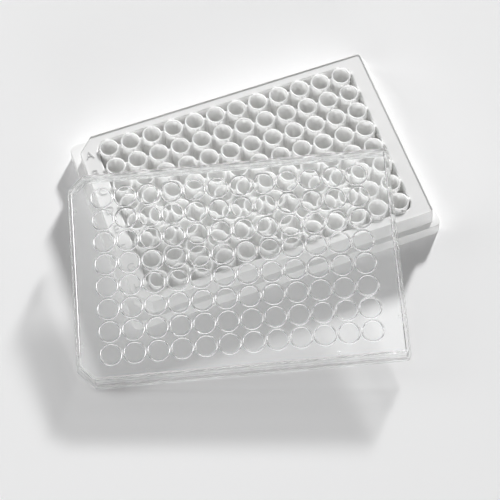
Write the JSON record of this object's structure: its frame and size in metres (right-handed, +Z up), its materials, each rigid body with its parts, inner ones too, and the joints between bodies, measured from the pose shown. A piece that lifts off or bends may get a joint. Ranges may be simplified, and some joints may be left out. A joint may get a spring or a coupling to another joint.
{
  "type": "well plate with lid",
  "caption": "Rectangular laboratory well plate with a grid of open round chimney wells, its shallow clear lid taken off and leaning across one corner.",
  "frame": {"origin": "middle of the whole object's footprint, on the surface that it stands on", "axes": "+X along the columns of wells, +Y towards the first row, +Z up"},
  "size_m": [0.154, 0.1356, 0.0281],
  "materials": {
    "white_plastic": "opaque white polystyrene, satin",
    "clear_plastic": "clear polystyrene, glossy"
  },
  "bodies": {
    "root": {"plate": "white_plastic", "lid": "clear_plastic"}
  },
  "joints": []
}
